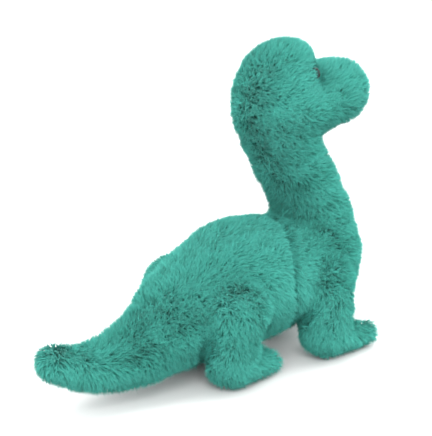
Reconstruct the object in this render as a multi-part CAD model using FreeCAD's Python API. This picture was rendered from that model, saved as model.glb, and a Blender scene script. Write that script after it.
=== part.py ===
"""A stuffed long-necked dinosaur, standing on four feet, as the pieces that it is sewn and filled from.

Frame: +X is the way it faces, +Z is up, and the origin is on the floor, midway between muzzle and tail tip.
Each fabric panel is a solid as thick as the plush lies: its knitted backing and its pile together.
Inside the panels are the fibre filling, one piece for each part that bends by itself, and the pellet bags.
The parts bend where the filling is folded: a round end of one filling turns in a round hollow of the next.
Where the neck meets the chest, between the front thighs, that end is a roll across the toy instead of a ball.
Millimetres throughout.
"""

import FreeCAD
import Part
import math
import os

from FreeCAD import Placement, Rotation, Vector

# Overall sizes, each as a share of the usual one
LONG = 1.0             # along X
TALL = 1.0             # along Z

# Plush fabric
BACKING = 1.2          # knitted backing
PILE = 8.8             # pile as it lies, from the backing to its tips
PLUSH = BACKING + PILE
FILL_GAP = 0.4         # between a panel's back and the filling
TURN_GAP = 0.6         # between two parts that turn on each other
SWING_SPARE = 1.5      # degrees of room past each end of a swing

# Torso: a barrel along X and an upright chest. Each station is (x, z, radius).
BARREL = [(-84, 48.4, 36), (-66, 55.2, 40.5), (-46, 63.4, 48), (-22, 72, 55.5), (10, 82, 61), (42, 90, 64.5),
          (82, 87, 61.6), (120, 84.5, 58.5), (150, 84, 47)]
CHEST = [(139, 36, 16), (139, 41, 28), (139, 52, 41), (138.5, 68, 50), (138, 85, 53.5), (136.5, 107, 55),
         (138, 122, 50), (139, 133, 45.6), (139, 145, 44)]
CHEST_SEAM = 108.0 * LONG  # where the chest panels meet the flank panels
GUSSET_HALF = 26.0     # half the width of the belly gusset
GUSSET_TOP = 58.0 * TALL  # the belly gusset's upper edges

# Neck and head
NECK_LEAN = -12.0      # degrees that the neck leans back where it leaves the chest
NECK_CLEAR = 42.0      # radius of the room that the neck's lower edge turns in
ROLL_SPARE = 3.28      # from the roll of filling that it turns on to the front thighs
NECK_SWING = 15.0
NECK_FLARE = 6.0       # degrees that the collar round the neck opens past its swing
NECK = [(138, 132, 39), (134.5, 152, 38.8), (124.5, 176, 38), (111, 196.5, 38)]
HEAD_LEAN = -31.0      # degrees that the neck leans back where the head starts
HEAD_BALL = 35.4
HEAD_SWING = 12.0
HEAD = [(111, 196.5, 34.4), (102, 213, 37.6), (93.5, 234, 40.5), (88.5, 254, 44.8), (89, 270, 45.8), (94, 284, 44.4)]
MUZZLE = [(104, 263, 30), (122, 263.5, 34), (142, 263.8, 36.2), (160, 264, 36), (174, 264.2, 34.6)]
MUZZLE_CREASE = 37.0   # from the middle of the head's round top to where the muzzle's own panels start
HEAD_GUSSET_HALF = 13.0
HEAD_GUSSET_BASE = 228.0 * TALL

# Tail, in two parts behind the rump
TAIL_DIP = 15.0        # degrees that the tail falls where it leaves the rump
TAIL_BALL = 33.6
TAIL_ROOT = [(-84, 48.4, 32.4), (-98, 45, 32), (-114, 43.2, 30), (-130, 43.2, 27.6)]
TIP_DIP = -3.0
TIP_BALL = 25.6
TAIL_TIP = [(-130, 43.2, 24.8), (-144, 44.6, 24.8), (-158, 48, 23.2), (-172, 53.6, 21.2), (-185.4, 60.6, 19.6)]

# Legs. A leg is a round thigh that turns about its own axis, a column and a toe.
LEG_INNER = 16.0       # how far a leg's flat inner side is from the middle plane
WELL_GAP = 0.5         # between that side and the torso
LEG_SEAM = 40.0        # where a leg's inner and outer panels meet
SOLE = 6.0
BAG_R = 13.0
BAG_Z = 24.0
HIND = {
    "hip": (-6.0, 75.0), "thigh_r": 38.0, "thigh_flat": 50.0, "thigh_out": 81.0, "column_y": 43.0,
    "column": [(-6, 78, 34), (-11, 54, 32.4), (-10, 32, 30.4), (-8, 14, 30), (-8, 5, 27.5), (-8, 0, 24)],
    "toe": [(2, 21, 22), (20, 17, 19), (36, 13.6, 15.4), (45, 12.4, 13.8)], "toe_y": 44.0, "toe_turn": 0.0,
    "back": 10.0, "forward": 8.0,
}
FRONT = {
    "hip": (124.0, 78.0), "thigh_r": 32.5, "thigh_flat": 48.0, "thigh_out": 75.0, "column_y": 45.5,
    "column": [(124, 86, 22), (124, 60, 28.8), (121, 34, 29.6), (119, 14, 29.6), (119, 5, 27), (119, 0, 24)],
    "toe": [(129, 18, 20), (145, 16, 18.2), (160, 14.5, 16.4), (170, 14, 15.6)], "toe_y": 47.0, "toe_turn": 6.0,
    "back": 12.0, "forward": 12.0,
}
LEGS = [("hind_left", HIND, 1), ("hind_right", HIND, -1), ("front_left", FRONT, 1), ("front_right", FRONT, -1)]

# Eyes: a domed button with a stem, held by a washer inside
EYE_R = 6.0
EYE_DOME = 4.2
EYE_HOLLOW_R = 7.5
EYE_STEM_R = 1.6
EYE_STEM = 13.0
EYE_SEAT = 6.0         # from the button's flat side to the washer
WASHER_R = 7.0
WASHER = 1.4
STEM_FIT = 0.05
EYE_OFFSET = (27.5, 26.0, 9.0)     # from the middle of the head's round top
EYE_FACING = (0.62, 0.74, 0.26)

# Stitching
NOSTRIL_R = 1.5
NOSTRIL_HALF = 2.4
NOSTRIL_WAY = (0.877, 0.416, 0.24)  # from the middle of the muzzle's round end
NOSTRIL_DEPTH = 7.7    # from the pile's tips to the nostril's middle
THREAD_R = 0.6
STITCH_PITCH = 5.0
STITCH_COUNT = 6
STITCH_HALF = 1.8
STITCH_START = 3.0     # from the barrel's widest station to the first rung
STITCH_DEPTH = 7.6     # from the pile's tips to the thread, where the gusset is sewn on


def sized(stations):
    return [(x * LONG, z * TALL, r) for x, z, r in stations]


BARREL, CHEST, NECK, HEAD, MUZZLE, TAIL_ROOT, TAIL_TIP = map(sized, (BARREL, CHEST, NECK, HEAD, MUZZLE, TAIL_ROOT,
                                                                    TAIL_TIP))
NECK_JOINT, HEAD_JOINT, TAIL_JOINT, TIP_JOINT = (part[0][:2] for part in (NECK, HEAD, TAIL_ROOT, TAIL_TIP))
for form in (HIND, FRONT):
    form["hip"] = (form["hip"][0] * LONG, form["hip"][1] * TALL)
    form["column"], form["toe"] = sized(form["column"]), sized(form["toe"])
NECK_ROLL = math.dist(NECK_JOINT, FRONT["hip"]) - FRONT["thigh_r"] - ROLL_SPARE
CREASE_X = HEAD[-1][0] + MUZZLE_CREASE
EYE_PLACE = (HEAD[-1][0] + EYE_OFFSET[0], EYE_OFFSET[1], HEAD[-1][1] + EYE_OFFSET[2])
FAR = 600.0
TIP_END = TAIL_TIP[-1][0] - TAIL_TIP[-1][2]
NOSE_END = MUZZLE[-1][0] + MUZZLE[-1][2]


def section(x, y, z, radius, lean):
    """A circle round a station, square to a direction in the XZ plane that leans from +Z towards +X."""
    edge = Part.Circle(Vector(0, 0, 0), Vector(0, 0, 1), radius).toShape()
    edge.Placement = Placement(Vector(x, y, z), Rotation(Vector(0, 1, 0), lean))
    return Part.Wire([edge])


def tube(stations, inset=0.0, y=0.0, start=None, end=None, upright=False):
    """A smooth tube through stations (x, z, radius), each station square to the line past its neighbours."""
    last = len(stations) - 1
    leans = []
    for i in range(last + 1):
        (ax, az, _), (bx, bz, _) = stations[max(i - 1, 0)], stations[min(i + 1, last)]
        leans.append(0.0 if upright else math.degrees(math.atan2(bx - ax, bz - az)))
    leans[0] = leans[0] if start is None else start
    leans[-1] = leans[-1] if end is None else end
    rings = [section(x, y, z, r - inset, lean) for (x, z, r), lean in zip(stations, leans)]
    return Part.makeLoft(rings, True, False)


def rounded(stations, inset=0.0, y=0.0, start=None):
    """A tube closed by a round end at its last station."""
    x, z, r = stations[-1]
    return tube(stations, inset, y, start).fuse(Part.makeSphere(r - inset, Vector(x, y, z)))


def ball(centre, radius):
    return Part.makeSphere(radius, Vector(centre[0], 0, centre[1]))


def past(centre, lean):
    """Everything past a plane through centre and square to a leaning direction."""
    block = Part.makeBox(2 * FAR, 2 * FAR, FAR, Vector(-FAR, -FAR, 0))
    block.Placement = Placement(Vector(centre[0], 0, centre[1]), Rotation(Vector(0, 1, 0), lean))
    return block


def past_swing(centre, lean, swing):
    """Everything that a plane's far side sweeps as the plane turns by a swing each way."""
    return past(centre, lean - swing - SWING_SPARE).fuse(past(centre, lean + swing + SWING_SPARE))


def roll(centre, radius, half):
    """A round bar across the toy."""
    return Part.makeCylinder(radius, 2 * half, Vector(centre[0], -half, centre[1]), Vector(0, 1, 0))


def span(x=(-FAR, FAR), y=(-FAR, FAR), z=(-FAR, FAR)):
    return Part.makeBox(x[1] - x[0], y[1] - y[0], z[1] - z[0], Vector(x[0], y[0], z[0]))


def mirror(shape, side):
    return shape if side > 0 else shape.mirror(Vector(0, 0, 0), Vector(0, 1, 0))


def well(leg):
    """The room in the torso for one left leg: round its thigh, and wider downwards for its swing."""
    x, z = leg["hip"]
    r = leg["thigh_r"] + TURN_GAP
    depth = LEG_INNER - WELL_GAP
    room = Part.makeCylinder(r, FAR, Vector(x, depth, z), Vector(0, 1, 0))
    corners = []
    for angle, way in ((leg["back"], -1), (leg["forward"], 1)):
        a = math.radians(angle + SWING_SPARE)
        touch = Vector(x + way * r * math.cos(a), depth, z + r * math.sin(a))
        drop = touch.z + 2 * r
        foot = Vector(touch.x + way * drop * math.tan(a), depth, touch.z - drop)
        corners += [touch, foot] if way < 0 else [foot, touch]
    wedge = Part.Face(Part.makePolygon(corners + corners[:1])).extrude(Vector(0, FAR, 0))
    return room.fuse(wedge)


def thigh_form(leg, inset):
    """A thigh: a drum about its hip's axis with a domed outer side, turned from one profile."""
    x, z = leg["hip"]
    r = leg["thigh_r"] - inset
    flat, top = leg["thigh_flat"], leg["thigh_out"] - inset
    cap_r = (r * r + (top - flat) ** 2) / (2 * (top - flat))
    half = math.asin(r / cap_r) / 2
    corners = [Vector(x, LEG_INNER, z), Vector(x + r, LEG_INNER, z), Vector(x + r, flat, z), Vector(x, top, z)]
    middle = Vector(x + cap_r * math.sin(half), top - cap_r + cap_r * math.cos(half), z)
    edges = [Part.makeLine(a, b) for a, b in zip(corners[:2], corners[1:3])]
    edges += [Part.Arc(corners[2], middle, corners[3]).toShape(), Part.makeLine(corners[3], corners[0])]
    return Part.Face(Part.Wire(edges)).revolve(corners[0], Vector(0, 1, 0), 360)


def leg_form(leg, inset):
    """A left leg's outside, or the inside of its panels."""
    column = tube(leg["column"], inset, leg["column_y"], upright=True)
    toe = rounded(leg["toe"], inset, leg["toe_y"], start=90.0)
    toe.rotate(Vector(leg["column"][-1][0], leg["column_y"], 0), Vector(0, 0, 1), leg["toe_turn"])
    limits = span(y=(LEG_INNER + inset, FAR), z=(SOLE if inset else 0.0, FAR))
    return thigh_form(leg, inset).fuse(column).fuse(toe).common(limits)


def eye_frame(side):
    facing = Vector(EYE_FACING[0], side * EYE_FACING[1], EYE_FACING[2]).normalize()
    return Vector(EYE_PLACE[0], side * EYE_PLACE[1], EYE_PLACE[2]), facing


def rod(centre, along, radius, low, high):
    return Part.makeCylinder(radius, high - low, centre + along * low, along)


def ladder():
    """One thread in a ladder stitch: rungs across the seam, joined on alternate sides."""
    x, z, r = max(BARREL, key=lambda station: station[2])
    x, z = x + STITCH_START, z - math.sqrt((r - STITCH_DEPTH) ** 2 - GUSSET_HALF ** 2)
    points = []
    for i in range(STITCH_COUNT):
        near, far = (-1, 1) if i % 2 == 0 else (1, -1)
        points += [Vector(x, GUSSET_HALF + near * STITCH_HALF, z), Vector(x, GUSSET_HALF + far * STITCH_HALF, z)]
        x += STITCH_PITCH
    pieces = [Part.makeSphere(THREAD_R, p) for p in points]
    pieces += [Part.makeCylinder(THREAD_R, a.distanceToPoint(b), a, b - a) for a, b in zip(points, points[1:])]
    return pieces[0].fuse(pieces[1:]).removeSplitter()


def halves(shape, name):
    nodes[name + "_left"] = shape.common(span(y=(0, FAR)))
    nodes[name + "_right"] = shape.common(span(y=(-FAR, 0)))


nodes = {}

# Torso
tail_lean = -90.0 - TAIL_DIP
tip_lean = -90.0 - TIP_DIP


def torso_form(inset):
    return tube(BARREL, inset, start=tail_lean + 180, end=90.0).fuse(tube(CHEST, inset, upright=True))


flare = math.tan(math.radians(NECK_SWING + NECK_FLARE))
collar = Part.makeCone(NECK_CLEAR, NECK_CLEAR * (1 + 2 * flare), 2 * NECK_CLEAR)
collar.Placement = Placement(Vector(NECK_JOINT[0], 0, NECK_JOINT[1]), Rotation(Vector(0, 1, 0), NECK_LEAN))
hollows = [collar, ball(NECK_JOINT, NECK_CLEAR).common(past_swing(NECK_JOINT, NECK_LEAN, NECK_SWING)),
           roll(NECK_JOINT, NECK_ROLL + TURN_GAP, NECK_ROLL + TURN_GAP), ball(TAIL_JOINT, TAIL_BALL + TURN_GAP)]
hollows += [mirror(well(leg), side) for name, leg, side in LEGS]
torso_skin = torso_form(0).cut([torso_form(PLUSH)] + hollows)
thread = ladder()
nodes["torso_filling"] = torso_form(PLUSH + FILL_GAP).cut(hollows + [thread])
gusset = span(y=(-GUSSET_HALF, GUSSET_HALF), z=(-FAR, GUSSET_TOP))
nodes["belly_gusset"] = torso_skin.common(gusset).cut(thread)
sides = torso_skin.cut([gusset, thread])
halves(sides.common(span(x=(-FAR, CHEST_SEAM))), "flank")
halves(sides.common(span(x=(CHEST_SEAM, FAR))), "chest")
nodes["closing_stitch"] = thread

# Neck
head_hollow = ball(HEAD_JOINT, HEAD_BALL + TURN_GAP)
neck = [tube(NECK, inset, start=NECK_LEAN, end=HEAD_LEAN) for inset in (0, PLUSH, PLUSH + FILL_GAP)]
halves(neck[0].cut([neck[1], head_hollow, past_swing(HEAD_JOINT, HEAD_LEAN, HEAD_SWING)]), "neck")
neck_end = roll(NECK_JOINT, NECK_ROLL, NECK_ROLL).cut(past(NECK_JOINT, NECK_LEAN))
nodes["neck_filling"] = neck[2].fuse(neck_end).cut(head_hollow)


# Head
def head_form(inset):
    return rounded(HEAD, inset, start=HEAD_LEAN).fuse(rounded(MUZZLE, inset))


head_skin = head_form(0).cut(head_form(PLUSH))
head_fill = head_form(PLUSH + FILL_GAP).fuse(ball(HEAD_JOINT, HEAD_BALL).cut(past(HEAD_JOINT, HEAD_LEAN)))
for side, word in ((1, "left"), (-1, "right")):
    place, facing = eye_frame(side)
    dome_r = (EYE_R ** 2 + EYE_DOME ** 2) / (2 * EYE_DOME)
    dome = Part.makeSphere(dome_r, place + facing * (EYE_DOME - dome_r)).common(rod(place, facing, EYE_R, 0, FAR))
    eye = dome.fuse(rod(place, facing, EYE_STEM_R, -EYE_STEM, 0.5)).removeSplitter()
    washer = rod(place, facing, WASHER_R, -EYE_SEAT - WASHER, -EYE_SEAT)
    washer = washer.cut(rod(place, facing, EYE_STEM_R + STEM_FIT, -FAR, 0))
    stem_room = rod(place, facing, EYE_STEM_R + STEM_FIT, -EYE_STEM - FILL_GAP, 0)
    washer_room = rod(place, facing, WASHER_R + FILL_GAP, -EYE_SEAT - WASHER - FILL_GAP, -EYE_SEAT)
    head_skin = head_skin.cut([rod(place, facing, EYE_HOLLOW_R, 0, FAR / 10), stem_room, washer_room])
    head_fill = head_fill.cut([rod(place, facing, EYE_HOLLOW_R, -EYE_SEAT, FAR / 10), stem_room, washer_room])
    nodes["eye_" + word] = eye
    nodes["eye_washer_" + word] = washer
    x, z, r = MUZZLE[-1]
    low = Vector(NOSTRIL_WAY[0], side * NOSTRIL_WAY[1], NOSTRIL_WAY[2]).normalize() * (r - NOSTRIL_DEPTH)
    low += Vector(x, 0, z - NOSTRIL_HALF)
    high = low + Vector(0, side * NOSTRIL_HALF, 2 * NOSTRIL_HALF)
    nostril = Part.makeCylinder(NOSTRIL_R, low.distanceToPoint(high), low, high - low)
    nostril = nostril.fuse([Part.makeSphere(NOSTRIL_R, end) for end in (low, high)]).removeSplitter()
    head_skin, head_fill = head_skin.cut(nostril), head_fill.cut(nostril)
    nodes["nostril_" + word] = nostril
nodes["head_filling"] = head_fill
strip = (-HEAD_GUSSET_HALF, HEAD_GUSSET_HALF)
head_gusset = span((-FAR, HEAD[-1][0]), strip, (HEAD_GUSSET_BASE, FAR)).fuse(span(y=strip, z=(MUZZLE[0][1], FAR)))
cranium = head_skin.common(span(x=(-FAR, CREASE_X)))
nodes["head_gusset"] = cranium.common(head_gusset)
halves(cranium.cut(head_gusset), "head")
halves(head_skin.common(span(x=(CREASE_X, FAR))), "muzzle")

# Tail
tip_hollow = ball(TIP_JOINT, TIP_BALL + TURN_GAP)
root = [tube(TAIL_ROOT, inset, start=tail_lean, end=tip_lean) for inset in (0, PLUSH, PLUSH + FILL_GAP)]
halves(root[0].cut([root[1], tip_hollow]), "tail_root")
root_end = ball(TAIL_JOINT, TAIL_BALL).cut(past(TAIL_JOINT, tail_lean))
nodes["tail_root_filling"] = root[2].fuse(root_end).cut(tip_hollow)
tip = [rounded(TAIL_TIP, inset, start=tip_lean) for inset in (0, PLUSH, PLUSH + FILL_GAP)]
halves(tip[0].cut(tip[1]), "tail_tip")
nodes["tail_tip_filling"] = tip[2].fuse(ball(TIP_JOINT, TIP_BALL).cut(past(TIP_JOINT, tip_lean)))

# Legs
for name, leg, side in LEGS:
    outside, inside, room = (leg_form(leg, inset) for inset in (0, PLUSH, PLUSH + FILL_GAP))
    skin = outside.cut([inside, span(z=(-FAR, SOLE))])
    bag = Part.makeSphere(BAG_R, Vector(leg["column"][-2][0], leg["column_y"], BAG_Z))
    bag_room = Part.makeSphere(BAG_R + FILL_GAP, bag.CenterOfMass)
    forms = {
        "panel_outer": skin.common(span(y=(LEG_SEAM, FAR))),
        "panel_inner": skin.common(span(y=(-FAR, LEG_SEAM))),
        "sole": outside.common(span(z=(-FAR, SOLE))),
        "filling": room.common(span(z=(SOLE + FILL_GAP, FAR))).cut(bag_room),
        "pellet_bag": bag,
    }
    for part, shape in forms.items():
        nodes[name + "_" + part] = mirror(shape, side)

os.makedirs("parts", exist_ok=True)
centre = Vector(-(TIP_END + NOSE_END) / 2, 0, 0)
for name, shape in nodes.items():
    if len(shape.Solids) != 1 or not shape.isValid():
        raise ValueError(name + " is not one sound solid")
    solid = shape.Solids[0].translated(centre)
    solid.exportStep("parts/" + name + ".step")
    print(name, round(solid.Volume / 1000, 2))
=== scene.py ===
"""A stuffed long-necked dinosaur in long teal plush, standing on a plain floor.

Its skins are round tubes along the CAD part's own stations, melted together and smoothed.
Its pile is made of strands: tapered ribbons that grow from the skins in clumps, lean over and droop.
"""
import bpy
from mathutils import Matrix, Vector
import numpy as np
import math


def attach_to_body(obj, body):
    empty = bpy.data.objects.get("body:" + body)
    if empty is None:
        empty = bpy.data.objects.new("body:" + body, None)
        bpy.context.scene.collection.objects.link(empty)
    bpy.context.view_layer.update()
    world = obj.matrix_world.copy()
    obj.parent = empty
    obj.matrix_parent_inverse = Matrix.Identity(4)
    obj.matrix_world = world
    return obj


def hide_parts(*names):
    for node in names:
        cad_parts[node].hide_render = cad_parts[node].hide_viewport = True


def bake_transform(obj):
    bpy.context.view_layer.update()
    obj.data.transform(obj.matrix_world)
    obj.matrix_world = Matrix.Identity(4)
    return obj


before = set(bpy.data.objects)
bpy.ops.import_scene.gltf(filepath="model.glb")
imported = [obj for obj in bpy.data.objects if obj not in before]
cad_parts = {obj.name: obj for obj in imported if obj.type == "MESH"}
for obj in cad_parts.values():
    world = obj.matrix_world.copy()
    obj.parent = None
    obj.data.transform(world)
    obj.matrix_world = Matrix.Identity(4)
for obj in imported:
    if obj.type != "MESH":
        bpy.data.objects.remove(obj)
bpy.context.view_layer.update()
rng = np.random.default_rng(7)

MM = 0.001
MIDDLE = 1.8           # the frame's origin lies this far in front of the stations' own
PILE = 8.6             # from the skin to the tips of the lying pile
VOXEL = 3.5            # voxel size of the remesh that melts the tubes together
BODY_SMOOTH, LEG_SMOOTH = 10, 8

# Stations along each form: (x, y, z, radius), pile included
TAIL = [(-185.4, 0, 60.6, 19.6), (-172, 0, 53.6, 21.2), (-158, 0, 48, 23.2), (-144, 0, 44.6, 24.8),
        (-130, 0, 43.2, 26.8), (-114, 0, 43.2, 29.8), (-98, 0, 45, 32.8), (-84, 0, 48.4, 36),
        (-66, 0, 55.2, 40.5), (-46, 0, 63.4, 48), (-22, 0, 72, 55.5), (10, 0, 82, 61), (42, 0, 90, 64.5),
        (82, 0, 87, 61.6), (112, 0, 84.5, 58.5), (134, 0, 83, 54)]
CHEST = [(139, 0, 78, 46), (138.5, 0, 90, 53), (137, 0, 106, 55), (138, 0, 122, 50), (139.5, 0, 136, 44.4),
         (134.5, 0, 152, 39.8), (124.5, 0, 176, 38), (111, 0, 196.5, 37.6), (102, 0, 213, 37.9),
         (93.5, 0, 234, 40.6), (88.5, 0, 254, 44.8), (89, 0, 270, 45.8), (94, 0, 282, 44.8),
         (100.5, 0, 286.5, 42.2)]
MUZZLE = [(112, 0, 263, 32), (142, 0, 263.8, 36.4), (160, 0, 264.2, 36.2), (174, 0, 264.4, 34.8)]
CHEEK = [(102, 13, 256, 34), (124, 11, 257, 30.5), (144, 4, 261, 33)]
SHOULDER_SEAM = [(84, 152), (79, 143), (66, 125), (61, 108), (62, 88), (70, 64), (77, 40), (80, 28)]
EYE_SEAM = [(118, 301), (120, 295), (121, 288), (122, 282)]
# Seams as path, depth, width and least distance from the middle plane
SEAMS = [(SHOULDER_SEAM, 8.0, 4.5, 0.0), (EYE_SEAM, 9.0, 8.5, 15.0)]
HIND = [[(-5, 43, 77, 38), (-11, 43, 56, 33), (-10, 43, 36, 30.6), (-8, 43, 29, 29.6)],
        [(-8, 43, 26, 26), (10, 43.5, 21, 22), (26, 44, 17, 18.2), (45, 44, 13, 13.8)]]
FRONT = [[(115, 39, 81, 35.5), (115, 42, 60, 34.2), (115.5, 44, 40, 32.2), (117, 46, 29, 30)],
         [(119, 46, 25, 26), (133, 50, 20, 20.6), (148, 51, 17.5, 18.2), (170, 52, 15, 15.6)]]


def spline(stations, per=8):
    """Points on a Catmull-Rom curve through the stations, evenly spread in the parameter between each two."""
    p = np.array(stations, float)
    p = np.vstack([2 * p[0] - p[1], p, 2 * p[-1] - p[-2]])
    t = np.linspace(0, 1, per, endpoint=False)[:, None]
    out = []
    for i in range(1, len(p) - 2):
        a, b, c, d = p[i - 1:i + 3]
        out.append(0.5 * (2 * b + (c - a) * t + (2 * a - 5 * b + 4 * c - d) * t * t
                          + (3 * b - a - 3 * c + d) * t ** 3))
    return np.vstack(out + [p[-2:-1]])


def tube(stations, inset, around=40, cap=8):
    """A closed tube's vertices, quads and triangles.

    Point (s, a) = path(s) + r(s) * (side * cos(a) + up * sin(a)), with up and side square to the path at s.
    Each end is a hemisphere: the path goes on by r * sin(phi) while the radius falls to r * cos(phi).
    """
    p = spline(stations)
    p[:, 3] -= inset
    d = np.gradient(p[:, :3], axis=0)
    d /= np.linalg.norm(d, axis=1)[:, None]
    phi = np.linspace(0, math.pi / 2, cap, endpoint=False)[1:]
    rise, ring = np.sin(phi)[:, None], np.cos(phi)
    head = np.column_stack([p[-1, :3] + d[-1] * rise * p[-1, 3], ring * p[-1, 3]])
    tail = np.column_stack([p[0, :3] - d[0] * rise * p[0, 3], ring * p[0, 3]])[::-1]
    c = np.vstack([tail, p, head])
    d = np.vstack([np.repeat(d[:1], cap - 1, 0), d, np.repeat(d[-1:], cap - 1, 0)])
    side = np.array([0.0, 1.0, 0.0])
    up = np.cross(d, side)
    up /= np.linalg.norm(up, axis=1)[:, None]
    side = np.cross(up, d)
    a = np.linspace(0, 2 * math.pi, around, endpoint=False)
    ring = np.cos(a)[None, :, None] * side[:, None] + np.sin(a)[None, :, None] * up[:, None]
    v = c[:, None, :3] + c[:, None, 3:] * ring
    n = len(c)
    v = np.vstack([v.reshape(-1, 3), p[0, :3] - d[0] * p[0, 3], p[-1, :3] + d[-1] * p[-1, 3]])
    i, j = np.meshgrid(np.arange(n - 1), np.arange(around), indexing="ij")
    k = (j + 1) % around
    here, there = i * around, (i + 1) * around
    quads = np.stack([here + j, here + k, there + k, there + j], -1).reshape(-1, 4)
    j = np.arange(around)
    k = (j + 1) % around
    last = (n - 1) * around
    tris = np.vstack([np.stack([k, j, np.full(around, n * around)], -1),
                      np.stack([last + j, last + k, np.full(around, n * around + 1)], -1)])
    return v, quads, tris


def new_mesh(name, verts, polys):
    """An object at the origin from vertices in metres and a list of face arrays."""
    mesh = bpy.data.meshes.new(name)
    total = sum(len(q) for q in polys)
    mesh.vertices.add(len(verts))
    mesh.vertices.foreach_set("co", np.asarray(verts, np.float32).ravel())
    loops = np.concatenate([q.ravel() for q in polys]).astype(np.int32)
    sizes = np.concatenate([np.full(len(q), q.shape[1]) for q in polys]).astype(np.int32)
    mesh.loops.add(len(loops))
    mesh.loops.foreach_set("vertex_index", loops)
    mesh.polygons.add(total)
    starts = np.concatenate([[0], np.cumsum(sizes)[:-1]]).astype(np.int32)
    mesh.polygons.foreach_set("loop_start", starts)
    mesh.polygons.foreach_set("loop_total", sizes)
    mesh.polygons.foreach_set("use_smooth", np.ones(total, bool))
    mesh.update()
    mesh.validate()
    obj = bpy.data.objects.new(name, mesh)
    bpy.context.collection.objects.link(obj)
    return obj


def press_seams(v, n, seams):
    """Sinks the skin beside each seam by depth * exp(-(d / width)^2), with d the distance to it from the side."""
    for path, depth, width, inner in seams:
        d = from_seam(v, path, inner)
        v -= n * (depth * MM * np.exp(-(d / (width * MM)) ** 2))[:, None]
    return v


def melted(name, forms, smooth):
    """Overlapping tubes melted into one skin with soft creases: vertices, triangles, normals and quads."""
    verts, polys, base = [], [], 0
    for stations in forms:
        v, q, t = tube(stations, PILE)
        verts.append(v)
        polys += [q + base, t + base]
        base += len(v)
    v = np.vstack(verts)
    v[:, 0] -= MIDDLE
    obj = new_mesh(name, v * MM, polys)
    remesh = obj.modifiers.new("remesh", "REMESH")
    remesh.mode = "VOXEL"
    remesh.voxel_size = VOXEL * MM
    soften = obj.modifiers.new("soften", "SMOOTH")
    soften.factor = 0.5
    soften.iterations = smooth
    bpy.context.view_layer.update()
    made = obj.evaluated_get(bpy.context.evaluated_depsgraph_get()).to_mesh()
    made.calc_loop_triangles()
    v = np.empty(len(made.vertices) * 3)
    made.vertices.foreach_get("co", v)
    n = np.empty(len(made.vertices) * 3)
    made.vertices.foreach_get("normal", n)
    t = np.empty(len(made.loop_triangles) * 3, np.int32)
    made.loop_triangles.foreach_get("vertices", t)
    q = np.empty(len(made.polygons) * 4, np.int32)
    made.polygons.foreach_get("vertices", q)
    bpy.data.objects.remove(obj)
    return v.reshape(-1, 3), t.reshape(-1, 3), n.reshape(-1, 3), q.reshape(-1, 4)


def depth_in(points, forms):
    """How deep points are inside tubes: the largest of radius minus distance over balls along them."""
    best = np.full(len(points), -1e9)
    for stations in forms:
        for x, y, z, r in spline(stations, 3):
            centre = np.array([x - MIDDLE, y, z]) * MM
            best = np.maximum(best, r * MM - np.linalg.norm(points - centre, axis=1))
    return best


def flipped(forms):
    """The same stations on the other side of the middle plane."""
    return [[(x, -y, z, r) for x, y, z, r in stations] for stations in forms]


# Where each part of the body's skin begins, and where it bends
NECK_WAY = np.array([0.5, 0.0, 0.866])
NECK_FROM, NECK_START, NECK_END = 162 * MM, 168 * MM, 200 * MM
HEAD_FROM, HEAD_START, HEAD_END = 202 * MM, 188 * MM, 226 * MM
ROOT_FROM, ROOT_START, ROOT_END = -60 * MM, -64 * MM, -104 * MM
TIP_FROM, TIP_START, TIP_END = -108 * MM, -112 * MM, -150 * MM


def body_region(p):
    """0 torso, 1 neck, 2 head, 3 tail root, 4 tail tip."""
    rise = p @ NECK_WAY
    region = np.zeros(len(p), int)
    region[rise > NECK_FROM] = 1
    region[rise > HEAD_FROM] = 2
    region[p[:, 0] < ROOT_FROM] = 3
    region[p[:, 0] < TIP_FROM] = 4
    return region


def attach(obj, part):
    """Rides a piece on its body; the neck, head and tail pieces are only baked into place."""
    if part == "torso":
        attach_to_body(obj, "torso")
    elif part == "neck":
        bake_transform(obj)
    elif part == "head":
        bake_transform(obj)
    elif part == "tail_root":
        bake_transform(obj)
    elif part == "tail_tip":
        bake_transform(obj)
    else:
        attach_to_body(obj, part)


PARTS = ["torso", "neck", "head", "tail_root", "tail_tip"]
HIDES = {
    "torso": ["belly_gusset", "chest_left", "chest_right", "flank_left", "flank_right", "torso_filling"],
    "neck": ["neck_left", "neck_right", "neck_filling"],
    "head": ["head_gusset", "head_left", "head_right", "muzzle_left", "muzzle_right", "head_filling"],
    "tail_root": ["tail_root_left", "tail_root_right", "tail_root_filling"],
    "tail_tip": ["tail_tip_left", "tail_tip_right", "tail_tip_filling"],
}
LEGS = {"hind_left": HIND, "hind_right": flipped(HIND), "front_left": FRONT, "front_right": flipped(FRONT)}
for leg in LEGS:
    HIDES[leg + "_leg"] = [leg + "_" + n for n in ("panel_outer", "panel_inner", "sole", "filling")]


# Materials
def group_input(group, name, kind, default=None):
    socket = group.interface.new_socket(name=name, in_out="INPUT", socket_type=kind)
    if default is not None:
        socket.default_value = default
    return socket


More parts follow.
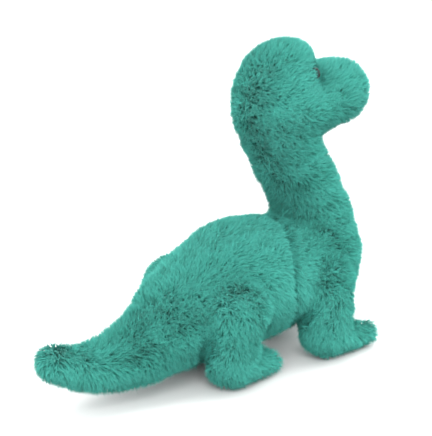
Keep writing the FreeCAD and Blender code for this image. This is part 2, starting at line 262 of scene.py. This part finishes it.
def pile_group():
    """Colour of a pile fibre: painted shade darkens it at its root and it is light at its tip; each clump is a
    little its own, with painted shade and painted light where it grows.
    """
    g = bpy.data.node_groups.new("pile_colour", "ShaderNodeTree")
    group_input(g, "Tone_and_shade", "NodeSocketFloat", 0.5)
    group_input(g, "Along", "NodeSocketFloat", 0.5)
    g.interface.new_socket(name="Colour", in_out="OUTPUT", socket_type="NodeSocketColor")
    ins, outs = g.nodes.new("NodeGroupInput"), g.nodes.new("NodeGroupOutput")
    ramp = g.nodes.new("ShaderNodeValToRGB")
    # painted shade: the ramp is dark at the root and lightens towards the tip
    stops = [(0.0, (0.022, 0.165, 0.138)), (0.35, (0.046, 0.315, 0.262)), (0.70, (0.076, 0.450, 0.378)),
             (1.0, (0.102, 0.555, 0.465))]
    while len(ramp.color_ramp.elements) < len(stops):
        ramp.color_ramp.elements.new(0.5)
    for e, (at, c) in zip(ramp.color_ramp.elements, stops):
        e.position, e.color = at, (*c, 1)
    spread = g.nodes.new("ShaderNodeMapRange")
    spread.inputs["To Min"].default_value = 0.55
    spread.inputs["To Max"].default_value = 1.20
    shade = g.nodes.new("ShaderNodeHueSaturation")
    g.links.new(ins.outputs["Along"], ramp.inputs["Fac"])
    g.links.new(ins.outputs["Tone_and_shade"], spread.inputs["Value"])
    g.links.new(ramp.outputs["Color"], shade.inputs["Color"])
    g.links.new(spread.outputs["Result"], shade.inputs["Value"])
    g.links.new(shade.outputs["Color"], outs.inputs["Colour"])
    return g


def material(name, rough, colour=None, sheen=0.0):
    m = bpy.data.materials.new(name)
    m.use_nodes = True
    b = m.node_tree.nodes["Principled BSDF"]
    b.inputs["Roughness"].default_value = rough
    b.inputs["Sheen Weight"].default_value = sheen
    b.inputs["Sheen Roughness"].default_value = 0.5
    b.inputs["Specular IOR Level"].default_value = 0.15
    if colour:
        b.inputs["Base Color"].default_value = (*colour, 1)
    return m


group = pile_group()
pile_look = material("plush_pile", 0.8, sheen=0.08)
tree = pile_look.node_tree
uv = tree.nodes.new("ShaderNodeUVMap")
uv.uv_map = "OFBake"
split = tree.nodes.new("ShaderNodeSeparateXYZ")
fibre = tree.nodes.new("ShaderNodeGroup")
fibre.node_tree = group
tree.links.new(uv.outputs["UV"], split.inputs["Vector"])
tree.links.new(split.outputs["X"], fibre.inputs["Tone_and_shade"])
tree.links.new(split.outputs["Y"], fibre.inputs["Along"])
tree.links.new(fibre.outputs["Colour"], tree.nodes["Principled BSDF"].inputs["Base Color"])
# the backing's dark teal is painted shade at the pile's roots
skin_look = material("plush_backing", 0.9, (0.036, 0.235, 0.195))
eye_look = material("eye_button", 0.4, (0.012, 0.012, 0.013))


# Pile
DENSITY = 3.0e6        # strands on a square metre of skin
CLUMP = 5              # strands in a clump
CLUMP_R = 0.9 * MM
LENGTH = 11.6 * MM
WIDTH = 0.40 * MM
ROOTED = 0.6 * MM      # how far the strands start below the skin
FLOOR_GAP = 0.35 * MM  # least height of any strand over the floor
PIECE_STRANDS = 64000  # most strands in one piece: three triangles each, so under 200,000 triangles
BODY_DEEP, LEG_DEEP = 14, 16  # no strand grows where the skin lies this deep in the other forms
EYE_SHADE = 17 * MM    # how far the painted shade on the pile round an eye reaches
# Where the pile is ruffled: x, z, radius and how much
RUFFLED = [(118, 182, 40, 0.85), (132, 145, 38, 0.9), (112, 232, 32, 0.95), (132, 104, 40, 0.8),
           (0, 58, 45, 0.45), (-55, 60, 38, 0.55), (-105, 48, 40, 0.6), (40, 50, 30, 0.5), (150, 248, 20, 0.5)]


def waves(p, size, seed):
    """A slow vector field: each component a sum of sines of position, about size long."""
    r = np.random.default_rng(seed)
    out = np.zeros_like(p)
    for _ in range(4):
        k = r.normal(size=(3, 3)) / size
        out += np.sin(p @ k.T * 2.2 + r.uniform(0, 2 * math.pi, 3))
    return out / 2


def unit(v):
    return v / np.maximum(np.linalg.norm(v, axis=1), 1e-9)[:, None]


def ruffled(p):
    """From 0 where the pile lies smooth to 1 where it stands up and parts, in soft round patches."""
    w = np.zeros(len(p))
    for x, z, r, most in RUFFLED:
        d = np.hypot(p[:, 0] - (x - MIDDLE) * MM, p[:, 2] - z * MM) / (r * MM)
        w = np.maximum(w, most * np.exp(-d ** 3))
    return np.clip(w * (1 + 0.3 * waves(p, 0.016, 21)[:, 0]), 0, 1)


def grow(verts, tris, normals, comb, others, deepest):
    """Strands on a skin, in clumps: root, bend and tip points, a side vector, a tone_and_shade value (random
    clump colour with painted shade and painted light) and a share of length.

    With lean the mean angle from the skin's normal and way the direction of combing,
    first = normal * cos(0.55 lean) + way * sin(0.55 lean), and last is the same with 1.45 lean.
    bend = root + first * size / 2, and tip = bend + last * size / 2, drawn in towards the clump's middle.
    None grow where the skin is deep inside the other forms, and low down they are short where it meets them.
    """
    a, b, c = (verts[tris[:, i]] for i in range(3))
    area = np.linalg.norm(np.cross(b - a, c - a), axis=1) / 2
    count = int(area.sum() * DENSITY / CLUMP)
    even = (np.arange(count) + rng.random(count)) / count
    pick = np.searchsorted(np.cumsum(area) / area.sum(), even)
    u = rng.random((count, 2))
    u[u.sum(1) > 1] = 1 - u[u.sum(1) > 1]
    w = np.column_stack([1 - u.sum(1), u])
    root = np.einsum("ni,nij->nj", w, verts[tris[pick]])
    normal = unit(np.einsum("ni,nij->nj", w, normals[tris[pick]]))
    inside = depth_in(root, others) / MM
    keep = inside < deepest
    root, normal, inside = root[keep], normal[keep], inside[keep]
    lower = np.clip((75 * MM - root[:, 2]) / (20 * MM), 0, 1)
    groove = 1 - 0.5 * lower * np.clip((inside + 7) / 6, 0, 1)
    n = len(root)
    w = ruffled(root)
    way = comb(root, normal) + 0.35 * waves(root, 0.045, 3) + 0.35 * waves(root, 0.012, 5)
    way += rng.normal(0, 1, (n, 3)) * (0.45 + 0.8 * w)[:, None]
    way = unit(way - normal * np.sum(way * normal, 1)[:, None])
    lean = 0.80 - 0.55 * w + (0.14 + 0.12 * w) * waves(root * (0.7, 0.7, 1.6), 0.014, 9)[:, 0]
    lean = np.clip(lean + rng.normal(0, 0.15, n), 0.1, 1.2)
    long = LENGTH * np.clip(rng.normal(1.0, 0.05, n), 0.8, 1.15)
    first = unit(normal * np.cos(lean * 0.55)[:, None] + way * np.sin(lean * 0.55)[:, None])
    last = unit(normal * np.cos(lean * 1.45)[:, None] + way * np.sin(lean * 1.45)[:, None])
    clump = rng.random(n)
    r = np.repeat(np.arange(n), CLUMP)
    m = len(r)
    spin, off = rng.random(m) * 2 * math.pi, CLUMP_R * np.sqrt(rng.random(m))
    across = np.cross(normal, way)
    spread = way[r] * (np.cos(spin) * off)[:, None] + across[r] * (np.sin(spin) * off)[:, None]
    stray = rng.normal(0, 0.5 * MM, (m, 3))
    stray = stray + rng.normal(0, 1.2 * MM, (m, 3)) * (rng.random(m) < 0.10)[:, None]
    cut = shorn(root[r] + spread) * groove[r]
    size = long[r] * np.clip(rng.normal(1, 0.08, m), 0.7, 1.2) * cut
    p0 = root[r] + spread - normal[r] * ROOTED
    p1 = root[r] + spread * 0.80 + first[r] * (size * 0.5)[:, None] + stray * 0.3
    p2 = root[r] + spread * 0.42 + (first[r] + last[r]) * (size * 0.5)[:, None] + stray
    for p in (p0, p1, p2):
        p[:, 2] = np.maximum(p[:, 2], FLOOR_GAP + 0.5 * MM * rng.random(m))
    turn = rng.normal(0, 0.7, m)[:, None]
    axis = unit(p2 - p0)
    flat = unit(np.cross(axis, normal[r]))
    side = flat * np.cos(turn) + np.cross(flat, axis) * np.sin(turn)
    # painted shade: the pile's colour darkens under the body
    under = np.clip(-normal[r, 2] * 1.3, 0, 1)
    # painted shade: the pile's colour darkens on faces that look up
    over = np.clip(normal[r, 2], 0, 1)
    # painted light: the pile's colour lightens low on the legs and feet
    low = np.clip((45 * MM - root[r, 2]) / (25 * MM), 0, 1)
    # painted shade: the pile's colour darkens in the hollows round the eyes
    near = np.min([np.linalg.norm(root[r] - e, axis=1) for e in EYES], axis=0)
    hollow = np.exp(-(near / EYE_SHADE) ** 2)
    tone_and_shade = 0.43 + 0.42 * clump[r] + 0.18 * rng.random(m) - 0.13 * over + 0.13 * low
    tone_and_shade = np.clip(tone_and_shade * (1 - 0.85 * under) * (1 - 0.95 * hollow), 0.004, 0.99)
    return p0, p1, p2, side, tone_and_shade, cut


def strands(name, made, part):
    """Flat ribbons: each has two points at the root, two at the bend and one at the tip."""
    p0, p1, p2, side, tone_and_shade, cut = made
    pieces = max(1, math.ceil(len(p0) / PIECE_STRANDS))
    order = np.argsort(p0[:, 1] + 0.7 * p0[:, 0], kind="stable")
    for i, s in enumerate(np.array_split(order, pieces)):
        half = side[s] * (WIDTH / 2)
        n = len(s)
        corners = [p0[s] - half, p0[s] + half, p1[s] + half * 0.95, p1[s] - half * 0.95, p2[s]]
        v = np.stack(corners, 1).reshape(-1, 3)
        k = np.arange(n)[:, None] * 5
        obj = new_mesh(f"{name}_pile_{i + 1}", v, [k + [0, 1, 2, 3], k + [3, 2, 4]])
        layer = obj.data.uv_layers.new(name="OFBake")
        u = tone_and_shade[s]
        # painted shade: the colour runs along the ramp only as far as the strand's kept share of length, so shorn
        # pile beside the eyes, in the seams and where the legs meet the body is darker
        low, mid, high = np.zeros(n), 0.5 * cut[s], 0.998 * cut[s]
        wide = 0.003
        quad = np.stack([u, low, u + wide, low, u + wide, mid, u, mid], 1)
        tip = np.stack([u, mid, u + wide, mid, u + wide / 2, high], 1)
        uvs = np.concatenate([quad.ravel(), tip.ravel()]).astype(np.float32)
        layer.data.foreach_set("uv", uvs)
        obj.data.materials.append(pile_look)
        attach(obj, part)


def comb_body(p, normal):
    """Forwards on top, down the sides and the tail's tip, up and forwards on the head, away from the eyes."""
    tip = np.clip((-140 * MM - p[:, 0]) / (40 * MM), 0, 1)[:, None]
    head = np.clip((p[:, 2] - 150 * MM) / (35 * MM), 0, 1)[:, None]
    top = np.clip(normal[:, 2:] * 1.5, 0, 1)
    lie = np.array([1.0, 0, 0]) * top + np.array([0.35, 0, -1.0]) * (1 - top)
    lie = lie * (1 - head) + np.array([0.8, 0, 0.6]) * head
    lie = lie * (1 - tip) + np.array([-0.4, 0, -0.9]) * tip
    for eye in EYES:
        apart = p - eye
        near = np.linalg.norm(apart, axis=1)[:, None]
        lie = lie + 3 * apart / np.maximum(near, 1e-6) * np.exp(-(near / (17 * MM)) ** 2)
    return lie


def comb_leg(p, normal):
    """Down the leg, and forwards along the toes."""
    toe = np.clip((40 * MM - p[:, 2]) / (30 * MM), 0, 1)[:, None]
    return np.array([-0.3, 0, -1.0]) * (1 - toe) + np.array([0.9, 0, -0.6]) * toe


EYE_R = 6 * MM
EYE_FLAT = 0.25        # share by which the button is flattened along the way it faces
EYE_SUNK = 2.5 * MM
EYES = [np.array([(121.5 - MIDDLE) * MM, side * 26 * MM, 293 * MM]) for side in (1, -1)]
FACING = [np.array(v) / np.linalg.norm(v) for v in ((0.62, 0.74, 0.26), (0.62, -0.74, 0.26))]


def from_seam(v, path, inner):
    """How far points are from a seam drawn from the side, which stays more than inner from the middle plane."""
    p = spline([(x - MIDDLE, z) for x, z in path], 12) * MM
    d = np.min([np.hypot(v[:, 0] - x, v[:, 2] - z) for x, z in p], axis=0)
    return d + np.maximum(inner * MM - np.abs(v[:, 1]), 0)


def shorn(p):
    """The share of its length that the pile keeps: it is short beside the eyes and in the seams."""
    near = np.min([np.linalg.norm(p - e, axis=1) for e in EYES], axis=0)
    keep = np.clip((near / MM - 8.0) / 12.0, 0.12, 1)
    for path, depth, width, inner in SEAMS:
        keep = np.minimum(keep, 0.45 + 0.55 * np.clip(from_seam(p, path, inner) / (width * MM), 0, 1))
    return keep


def padded_skin(name, verts, quads, part):
    """A skin that stands for the part's panels and filling."""
    skin = new_mesh(name, verts, [quads])
    skin.data.materials.append(skin_look)
    attach(skin, part)
    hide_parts(*HIDES[part])


def button(word, at, facing):
    """A domed eye button: a ball flattened along the way it faces, sunk into the pile."""
    bpy.ops.mesh.primitive_uv_sphere_add(segments=40, ring_count=24, radius=EYE_R, location=(0, 0, 0))
    eye = bpy.context.object
    eye.name = "eye_button_" + word
    co = np.empty(len(eye.data.vertices) * 3)
    eye.data.vertices.foreach_get("co", co)
    co = co.reshape(-1, 3)
    along = (co @ facing)[:, None] * facing
    co = co - along * EYE_FLAT + at - facing * EYE_SUNK
    eye.data.vertices.foreach_set("co", co.astype(np.float32).ravel())
    eye.data.polygons.foreach_set("use_smooth", np.ones(len(eye.data.polygons), bool))
    eye.data.materials.append(eye_look)
    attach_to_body(eye, "head")
    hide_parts("eye_" + word, "eye_washer_" + word)


def main():
    v, t, n, q = melted("body", [TAIL, CHEST, MUZZLE, CHEEK] + flipped([CHEEK]), BODY_SMOOTH)
    v = press_seams(v, n, SEAMS)
    legs = {leg: melted(leg, forms, LEG_SMOOTH) for leg, forms in LEGS.items()}
    face_at = v[q].mean(1)
    region = body_region(face_at)
    for i, part in enumerate(PARTS):
        faces = q[region == i]
        used, back = np.unique(faces, return_inverse=True)
        padded_skin(part + "_skin", v[used], back.reshape(-1, 4), part)
    all_legs = [form for forms in LEGS.values() for form in forms]
    made = grow(v, t, n, comb_body, all_legs, BODY_DEEP)
    region = body_region(made[0])
    for i, part in enumerate(PARTS):
        strands(part, [x[region == i] for x in made], part)
    for leg, (lv, lt, ln, lq) in legs.items():
        padded_skin(leg + "_skin", lv, lq, leg + "_leg")
        made = grow(lv, lt, ln, comb_leg, [TAIL, CHEST], LEG_DEEP)
        strands(leg, made, leg + "_leg")
    for word, at, facing in zip(("left", "right"), EYES, FACING):
        button(word, at, facing)


main()

# Floor, backdrop and light
floor_look = material("floor", 0.9, (0.98, 0.98, 0.98))
bpy.ops.mesh.primitive_plane_add(size=60, location=(0, 0, 0))
floor = bpy.context.object
floor.name = "floor"
floor.data.materials.append(floor_look)


LIT = (0, 0, 0.15)     # the point that every lamp faces


def lamp(name, place, size, power):
    """A soft round lamp: place and size in metres, power in watts."""
    data = bpy.data.lights.new(name, "AREA")
    data.shape, data.size, data.energy = "DISK", size, power
    obj = bpy.data.objects.new(name, data)
    bpy.context.collection.objects.link(obj)
    obj.location = place
    obj.rotation_euler = (Vector(LIT) - Vector(place)).to_track_quat("-Z", "Y").to_euler()


lamp("key", (-1.2, -1.5, 1.5), 1.6, 34)
lamp("top", (0.2, 0.2, 2.2), 1.8, 22)
lamp("rim", (1.6, -0.9, 1.3), 1.2, 10)
lamp("fill", (1.3, 1.4, 0.9), 1.4, 14)
world = bpy.data.worlds.new("studio")
bpy.context.scene.world = world
world.use_nodes = True
world.node_tree.nodes["Background"].inputs["Color"].default_value = (1, 1, 1, 1)
world.node_tree.nodes["Background"].inputs["Strength"].default_value = 1.0
bpy.context.scene.view_settings.view_transform = "Standard"

# Camera: its direction from the toy, its distance in metres, its lens in mm and its shift in frame widths
CAM_AZ, CAM_EL, CAM_FAR = math.radians(-41.45), math.radians(16.27), 1.5
CAM_LENS, CAM_SHIFT = 123.8532, (-0.087156, -0.022706)
target = np.array([(60 - MIDDLE) * MM, 0, 160 * MM])
level = math.cos(CAM_EL)
away = np.array([math.sin(CAM_AZ) * level, -math.cos(CAM_AZ) * level, math.sin(CAM_EL)])
cam_data = bpy.data.cameras.new("camera")
cam = bpy.data.objects.new("camera", cam_data)
bpy.context.collection.objects.link(cam)
cam.location = tuple(target + away * CAM_FAR)
cam.rotation_euler = (math.pi / 2 - CAM_EL, 0, CAM_AZ)
cam_data.lens = CAM_LENS
cam_data.shift_x, cam_data.shift_y = CAM_SHIFT
bpy.context.scene.camera = cam
